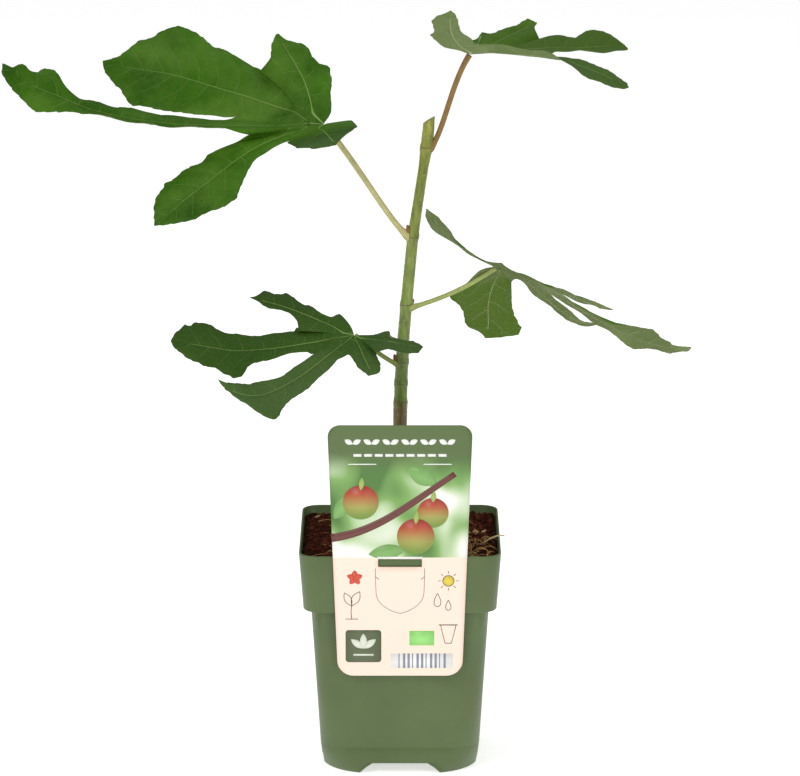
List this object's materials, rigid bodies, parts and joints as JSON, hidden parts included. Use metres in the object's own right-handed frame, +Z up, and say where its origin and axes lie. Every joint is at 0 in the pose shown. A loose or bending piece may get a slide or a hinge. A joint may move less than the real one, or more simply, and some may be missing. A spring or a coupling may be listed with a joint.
{
  "type": "young fig tree in a square nursery pot",
  "caption": "Young fig tree with one slim stem and large lobed leaves on long stalks, in a square green nursery pot with a hanging label card.",
  "frame": {"origin": "middle of the pot's underside, on the flat underside of its central foot pad", "axes": "+Z up, the pot stands on the plane z = 0; -Y is the front of the pot, where the label card hangs; +X is to the right seen from the front, the side to which the stem leans"},
  "size_m": [0.4387, 0.1495, 0.4991],
  "materials": {
    "pot": "satin injection-moulded polypropylene, grey-green",
    "soil": "dark, moist, peat-free growing medium with coir fibres and bark bits",
    "label_card": "printed thin plastic card, satin",
    "stem": "smooth green young bark with ring scars, brown and woody at the base",
    "stalk_pale": "smooth pale yellow-green leaf stalk",
    "stalk_green": "smooth green leaf stalk",
    "stalk_brown": "smooth tan-brown leaf stalk",
    "leaf": "dark green upper side with pale veins, grey-green felted underside with raised veins"
  },
  "bodies": {
    "root": {"pot": "pot", "soil": "soil", "label_card": "label_card", "stem": "stem", "stalk_upper_left": "stalk_pale", "stalk_lower_left": "stalk_green", "stalk_top_right": "stalk_brown", "stalk_right": "stalk_green", "leaf_upper_left": "leaf", "leaf_lower_left": "leaf", "leaf_top_right": "leaf", "leaf_right": "leaf"}
  },
  "joints": []
}
